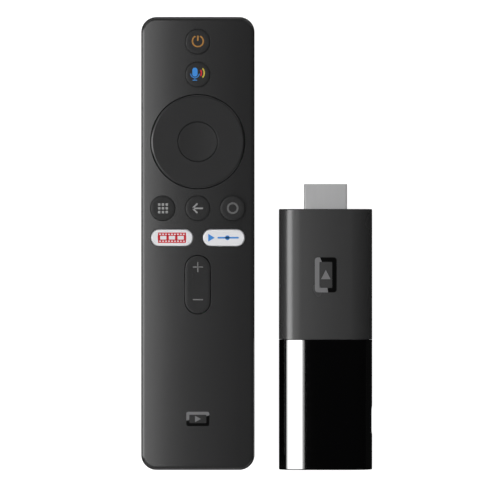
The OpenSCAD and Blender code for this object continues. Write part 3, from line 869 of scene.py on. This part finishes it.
class Mark:
    """Flat marks printed on a surface given by its height function."""

    def __init__(self, cx, cy, surface):
        self.cx, self.cy = cx, cy
        self.form = Form()
        self.top = lambda x, y: surface(x, y) + PRINT_T
        self.low = lambda x, y: surface(x, y) - PRINT_ROOT

    def shifted(self, points):
        return [(x + self.cx, y + self.cy) for x, y in points]

    def shape(self, points):
        self.form.prism(self.shifted(points), self.top, self.low)

    def band(self, outer, inner, closed):
        self.form.band(self.shifted(outer), self.shifted(inner), self.top, self.low, closed)

    def disc(self, x, y, r):
        self.shape(circle(x, y, r, 32))

    def ring(self, x, y, r, width, start=0, end=360):
        """A ring, or the part of one between two angles in degrees."""
        closed = end - start >= 360
        steps = 48
        outer = arc(x, y, r + width / 2, start, end, steps)
        inner = arc(x, y, r - width / 2, start, end, steps)
        if closed:
            outer, inner = outer[:-1], inner[:-1]
        self.band(outer, inner, closed)

    def stroke(self, x0, y0, x1, y1, width):
        """A straight line with round ends."""
        a = math.degrees(math.atan2(y1 - y0, x1 - x0))
        self.shape(arc(x1, y1, width / 2, a - 90, a + 90, 8)
                   + arc(x0, y0, width / 2, a + 90, a + 270, 8))

    def bar(self, x0, y0, x1, y1, r=0.05):
        """A rectangle between two corners, its own corners rounded by r."""
        self.shape(rounded_rect((x0 + x1) / 2, (y0 + y1) / 2, x1 - x0, y1 - y0, r, 4, 1, 1))

    def build(self, name, item, material, body, slot):
        piece(self.form.build(name, item, material), body, slot)


def on_cap(node):
    """A mark on a cap, drawn from the cap's middle."""
    cx, cy = SHAPES[node][:2]
    return Mark(cx, cy, TOPS[node])


def make_power_icon():
    mark = on_cap("power_button")
    r, line, half_gap = 1.75, 0.46, 26
    mark.ring(0, 0.15, r, line, 90 + half_gap, 450 - half_gap)
    mark.stroke(0, 0.4, 0, r, line)
    mark.build("power_icon", REMOTE, PRINT_ORANGE, "power_button", "print_orange")


def make_voice_icon():
    """Generic microphone with two sound waves beside it."""
    mark = on_cap("voice_button")
    x, line = -0.95, 0.26
    mark.shape(capsule(x, 0.75, 0, 0.6, 0.85, 32))
    mark.ring(x, 0.35, 1.4, line, 185, 355)
    mark.stroke(x, -1.2, x, -1.75, line)
    mark.stroke(-1.6, -1.85, -0.3, -1.85, line)
    mark.build("voice_icon", REMOTE, PRINT_BLUE, "voice_button", "print_colours")
    for name, material, r in (("near", PRINT_RED, 1.5), ("far", PRINT_YELLOW, 2.4)):
        wave = on_cap("voice_button")
        wave.ring(-0.35, 0.5, r, 0.42, -38, 38)
        wave.build("voice_wave_" + name, REMOTE, material, "voice_button", "print_colours")


def make_apps_icon():
    mark = on_cap("apps_button")
    pitch, size = 1.22, 0.8
    for i in (-1, 0, 1):
        for j in (-1, 0, 1):
            mark.bar(i * pitch - size / 2, j * pitch - size / 2,
                     i * pitch + size / 2, j * pitch + size / 2, 0.12)
    mark.build("apps_icon", REMOTE, PRINT_GREY, "apps_button", "print_grey")


def make_back_icon():
    mark = on_cap("back_button")
    line = 0.5
    mark.stroke(-1.5, 0, 1.45, 0, line)
    for side in (-1, 1):
        mark.stroke(-1.7, 0, -0.3, side * 1.35, line)
    mark.build("back_icon", REMOTE, PRINT_GREY, "back_button", "print_grey")


def make_home_icon():
    mark = on_cap("home_button")
    mark.ring(0, 0.05, 1.58, 0.6)
    mark.build("home_icon", REMOTE, PRINT_DIM, "home_button", "print_grey")


def make_volume_icons():
    mark = on_cap("volume_rocker")
    plus_y, minus_y, half, width = 5.7, -4.85, 1.5, 0.32
    mark.stroke(-half, plus_y, half, plus_y, width)
    mark.stroke(0, plus_y - half, 0, plus_y + half, width)
    mark.stroke(-half, minus_y, half, minus_y, width)
    mark.build("volume_icons", REMOTE, PRINT_MID, "volume", "print_grey")


def make_film_icon():
    """Generic film strip on the left shortcut."""
    mark = on_cap("shortcut_button_left")
    half_w, rail, window = 4.5, 0.62, 1.5
    holes, half_line, half_post = 9, 0.16, 0.2
    for side in (-1, 1):
        for y in (1.5, 0.75):
            mark.bar(-half_w, side * y - half_line, half_w, side * y + half_line)
        for i in range(holes + 1):
            x = -half_w + half_post + 2 * (half_w - half_post) * i / holes
            mark.bar(x - half_post, side * 1.12 - rail / 2, x + half_post, side * 1.12 + rail / 2)
    frames, half_bar, bar_x = 3, 0.38, half_w - 0.3
    for i in range(frames + 1):
        x = -bar_x + 2 * bar_x * i / frames
        mark.bar(x - half_bar, -window / 2, x + half_bar, window / 2)
    mark.build("shortcut_left_icon", REMOTE, PRINT_RED, "shortcut_button_left", "print_colours")


def make_play_icon():
    """Generic play triangle with a progress line on the right shortcut."""
    mark = on_cap("shortcut_button_right")
    half_h, half_line = 1.25, 0.27
    mark.shape([(-5.0, -half_h), (-2.9, 0), (-5.0, half_h)])
    mark.bar(-2.0, -half_line, 4.9, half_line, 0.26)
    mark.disc(1.2, 0, 0.75)
    mark.build("shortcut_right_icon", REMOTE, PRINT_BLUE, "shortcut_button_right", "print_colours")


MARK_W, MARK_L = 7.4, 4.6
REMOTE_MARK_Y = 16.5


def screen_marks(name, item, body, cy, surface, size, turned):
    """Generic screen with a play triangle: one print drawn as a pale lit copy and a black shaded
    copy.

    A slanting line across the screen parts the run of its rim on one side, a pale copy that is
    painted highlight, from the rest, a black copy that is painted shade; the triangle is in the
    pale copy.
    """
    def turn(points):
        return [(-y * size, x * size) if turned else (x * size, y * size) for x, y in points]

    rim, slope, lift = 0.95, 0.25, 0.2
    outer = rounded_rect(0, 0, MARK_W, MARK_L, 0.6, 8, 24, 14)
    inner = rounded_rect(0, 0, MARK_W - 2 * rim, MARK_L - 2 * rim, 0.15, 8, 24, 14)
    # pale holds the painted highlight of the print, dark its painted shade
    pale, dark = Mark(0, cy, surface), Mark(0, cy, surface)
    upper = [i for i, (x, y) in enumerate(outer) if y > slope * x + lift]
    first = next(i for i in upper if i - 1 not in upper)
    run = [(first + k) % len(outer) for k in range(len(upper))]
    rest = [(run[-1] + k) % len(outer) for k in range(len(outer) - len(upper) + 2)]
    for mark, part in ((pale, run), (dark, rest)):
        mark.band(turn([outer[i] for i in part]), turn([inner[i] for i in part]), False)
    pale.shape(turn([(-0.9, -1.0), (1.05, 0), (-0.9, 1.0)]))
    # The same print in two tones: pale metal as painted highlight, black as painted shade
    pale.build(name + "_painted_highlight_copy", item, MARK_PAINTED_HIGHLIGHT, body, "mark_silver")
    dark.build(name + "_painted_shade_copy", item, MARK_PAINTED_SHADE, body, "stick_gloss")


make_power_icon()
make_voice_icon()
make_apps_icon()
make_back_icon()
make_home_icon()
make_volume_icons()
make_film_icon()
make_play_icon()
screen_marks("remote_mark", REMOTE, "remote", REMOTE_MARK_Y, crown, 1.0, False)


# ---------------------------------------------------------------- stick

STICK_CROWN_R = 113      # radius of the top
STICK_TOP_R = 7.35       # radius of the sides, above their widest
STICK_TOP_X = STICK.w / 2 - STICK_TOP_R
STICK_CROWN_Z = STICK.h - STICK_CROWN_R
STICK_MID_Z = STICK_CROWN_Z + math.sqrt((STICK_CROWN_R - STICK_TOP_R) ** 2 - STICK_TOP_X ** 2)
STICK_LOW_X = STICK.w / 2 - STICK_MID_Z
STICK_TILT = math.degrees(math.asin(STICK_TOP_X / (STICK_CROWN_R - STICK_TOP_R)))
MATTE_WALL = WALL + 0.1  # the matte sleeve is a little thicker
SLEEVE_LIP = 0.09        # chamfer at a sleeve's open end
SLEEVE_EDGE = 0.3        # rounding at its closed end
STICK_MARK_Y = 63.0
STICK_MARK_W = 11.3


def stick_section(inset):
    """Anticlockwise section in x and z: crowned above, flat below, full round sides."""
    top_r = STICK_TOP_R - inset
    low_r = STICK_MID_Z - inset
    right_top = arc(STICK_TOP_X, STICK_MID_Z, top_r, 0, 90 - STICK_TILT, 40)
    crown_arc = arc(0, STICK_CROWN_Z, STICK_CROWN_R - inset, 90 - STICK_TILT, 90 + STICK_TILT, 32)
    left_top = arc(-STICK_TOP_X, STICK_MID_Z, top_r, 90 + STICK_TILT, 180, 40)
    left_low = arc(-STICK_LOW_X, STICK_MID_Z, low_r, 180, 270, 32)
    right_low = arc(STICK_LOW_X, STICK_MID_Z, low_r, 270, 360, 32)
    return right_top + crown_arc[1:-1] + left_top + left_low[1:] + right_low[:-1]


def along(points, y):
    """A section in x and z, placed at y."""
    return [(x, y, z) for x, z in points]


def loft_sleeve(form, y_open, y_closed, wall):
    """Outside and inside of a sleeve joined at its mouth; gives both rings at the closed end."""
    way = 1 if y_closed > y_open else -1
    lip, edge = SLEEVE_LIP, SLEEVE_EDGE
    rings = [along(stick_section(lip), y_open), along(stick_section(0), y_open + way * lip)]
    rings.append(along(stick_section(0), y_open + way * (lip + SUPPORT)))
    rings.append(along(stick_section(0), y_closed - way * (edge + SUPPORT)))
    steps = 5
    for k in range(steps + 1):
        a = math.radians(90 * k / steps)
        rings.append(along(stick_section(edge * (1 - math.cos(a))),
                           y_closed - way * edge * (1 - math.sin(a))))
    inside = [along(stick_section(wall), y_open),
              along(stick_section(wall), y_closed - way * wall)]
    outer_made = form.loft(rings, caps=False)
    inner_made = form.loft(inside, caps=False)
    form.bridge(outer_made[0], inner_made[0])
    return outer_made[-1], inner_made[-1]


def make_gloss_sleeve():
    """The far half of the stick, closed at its bottom end."""
    _, _, size, _, _ = STICK.middle("stick_gloss_sleeve")
    form = Form()
    for end in loft_sleeve(form, size.y, 0, WALL):
        form.cap(end)
    obj = form.build("stick_gloss_skin", STICK, STICK_GLOSS)
    cut_socket_window(obj)
    shade(obj.data)
    return piece(obj, "stick", "stick_gloss", "stick_gloss_sleeve")


def cut_socket_window(obj):
    """Window for the power socket and a hole for the status light in the long side."""
    _, usb_y, usb_size, usb_z0, usb_z1 = STICK.middle("usb_socket_shell")
    _, pipe_y, pipe_size, pipe_z0, pipe_z1 = STICK.middle("status_light_pipe")
    x0, x1 = STICK.w / 2 - 4, STICK.w / 2 + 2
    window_r, pipe_gap = 1.8, 0.05
    cuts = [capsule(usb_y, (usb_z0 + usb_z1) / 2, usb_size.y / 2 - 1.0, 0, window_r, 32),
            circle(pipe_y, (pipe_z0 + pipe_z1) / 2, pipe_size.y / 2 + pipe_gap, 32)]
    form = Form()
    for cut in cuts:
        form.loft([[(x, y, z) for y, z in cut] for x in (x0, x1)])
    cutter = form.build("cutter", STICK, STICK_GLOSS)
    modifier = obj.modifiers.new("window", "BOOLEAN")
    modifier.object = cutter
    modifier.solver = "EXACT"
    depsgraph = bpy.context.evaluated_depsgraph_get()
    mesh = bpy.data.meshes.new_from_object(obj.evaluated_get(depsgraph))
    obj.modifiers.clear()
    obj.data = mesh
    bpy.data.objects.remove(cutter)


def make_matte_sleeve():
    """The half nearer the plug, with the plug's mouth in its end."""
    _, cy, size, _, _ = STICK.middle("stick_matte_sleeve")
    y0, y1 = cy - size.y / 2, cy + size.y / 2
    y_in = y1 - MATTE_WALL
    _, _, plug_size, plug_z0, plug_z1 = STICK.middle("hdmi_plug_shell")
    gap, end_grid = 0.15, 3
    mouth = rounded_rect(0, (plug_z0 + plug_z1) / 2, plug_size.x + 2 * gap,
                         plug_z1 - plug_z0 + 2 * gap, 0.6, 6, 8, 4)
    form = Form()
    outer_end, inner_end = loft_sleeve(form, y0, y1, MATTE_WALL)
    hole = form.loft([along(mouth, y1), along(mouth, y_in)], caps=False)

    def in_mouth(p, margin):
        return (abs(p[0]) < plug_size.x / 2 + gap + margin
                and plug_z0 - gap - margin < p[1] < plug_z1 + gap + margin)

    form.fill((outer_end, stick_section(SLEEVE_EDGE)), [(hole[0], mouth)], in_mouth, end_grid,
              lambda x, z: (x, y1, z))
    form.fill((inner_end, stick_section(MATTE_WALL)), [(hole[1], mouth)], in_mouth, end_grid,
              lambda x, z: (x, y_in, z))
    obj = form.build("stick_matte_skin", STICK, STICK_MATTE)
    return piece(obj, "stick", "stick_matte", "stick_matte_sleeve")


def plug_outline(inset, corner):
    """Plug section in x and z: rounded upper corners and chamfered lower ones."""
    _, _, size, z0, z1 = STICK.middle("hdmi_plug_shell")
    w = size.x / 2 - inset
    top, low = z1 - inset, z0 + inset
    chamfer = 1.6 - 0.35 * inset
    sharpest = 0.05
    r = max(corner - inset, sharpest)
    points = [(w, low + chamfer)]
    points += arc(w - r, top - r, r, 0, 90, 8)
    points += arc(-w + r, top - r, r, 90, 180, 8)
    points += [(-w, low + chamfer), (-w + chamfer, low), (w - chamfer, low)]
    return points


def make_plug():
    """The plug's bent sheet, with a full round at its mouth."""
    _, cy, size, _, _ = STICK.middle("hdmi_plug_shell")
    y0, y1 = cy - size.y / 2, cy + size.y / 2
    sheet, corner = 0.3, 0.7
    half = sheet / 2
    rings = [along(plug_outline(0, corner), y0)]
    steps = 4
    for k in range(steps + 1):
        a = math.radians(90 * k / steps)
        rings.append(along(plug_outline(half * (1 - math.cos(a)), corner),
                           y1 - half * (1 - math.sin(a))))
    for k in range(steps + 1):
        a = math.radians(90 - 90 * k / steps)
        rings.append(along(plug_outline(sheet - half * (1 - math.cos(a)), corner),
                           y1 - half * (1 - math.sin(a))))
    rings.append(along(plug_outline(sheet, corner), y0))
    form = Form()
    form.loop_sweep(rings)
    obj = form.build("hdmi_plug_skin", STICK, PLUG)
    return piece(obj, "stick", "plug_steel", "hdmi_plug_shell")


def stick_top(x, y=0):
    """Height of the stick's top."""
    return STICK_CROWN_Z + math.sqrt(STICK_CROWN_R ** 2 - x * x)


gloss_sleeve = make_gloss_sleeve()
matte_sleeve = make_matte_sleeve()
plug = make_plug()
screen_marks("stick_mark", STICK, "stick", STICK_MARK_Y, stick_top, STICK_MARK_W / MARK_W, True)
light_link(REMOTE_KEY, [gloss_sleeve, matte_sleeve], "EXCLUDE")
light_link(MATTE_KEY, [matte_sleeve], "INCLUDE")
light_link(GLOSS_KEY, [gloss_sleeve], "INCLUDE")
# The plug is lit from behind, so that the sleeve puts no shade on it
light_link([key_soft, front_soft], [plug], "EXCLUDE")
light_link([plug_soft], [plug], "INCLUDE")


# ---------------------------------------------------------------- CAD nodes that stay

NODE_MATERIALS = {
    "remote_back_shell": SHELL,
    "remote_battery_door": SHELL,
    "remote_keypad": KEYPAD,
    "remote_board": BOARD_GREEN,
    "remote_snap_domes": SHEET,
    "remote_board_screws": SHEET,
    "remote_radio_chip": CHIP,
    "remote_small_chips": CHIP,
    "remote_microphone": GOLD,
    "battery_springs": SHEET,
    "battery_contact_plates": SHEET,
    "dpad_rocker_plate": FRAME_PLASTIC,
    "stick_inner_frame": FRAME_PLASTIC,
    "hdmi_insulator": CHIP,
    "hdmi_contacts": GOLD,
    "stick_main_board": BOARD_BLUE,
    "stick_processor": CHIP,
    "stick_memory_chips": CHIP,
    "stick_shield_can": SHEET,
    "stick_thermal_pad": THERMAL,
    "stick_heat_spreader": SPREADER,
    "stick_radio_module": SHEET,
    "stick_antenna": GOLD,
    "usb_socket_shell": SOCKET,
    "usb_socket_tongue": CHIP,
    "usb_socket_contacts": GOLD,
    "status_led": LENS,
    "status_light_pipe": LENS,
}


def cell_material(node, nub_way):
    """The wrap of a cell whose nub points to +y (1) or to -y (-1)."""
    low, high = box_mm(node)
    band, blur = 14, 0.3
    start = high.y - band if nub_way > 0 else low.y + band
    return cell_wrap(node + "_wrap", start, blur * nub_way)


NODE_MATERIALS["battery_cell_left"] = cell_material("battery_cell_left", 1)
NODE_MATERIALS["battery_cell_right"] = cell_material("battery_cell_right", -1)

for name, material in NODE_MATERIALS.items():
    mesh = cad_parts[name].data
    mesh.materials.clear()
    mesh.materials.append(material)
    shade(mesh)
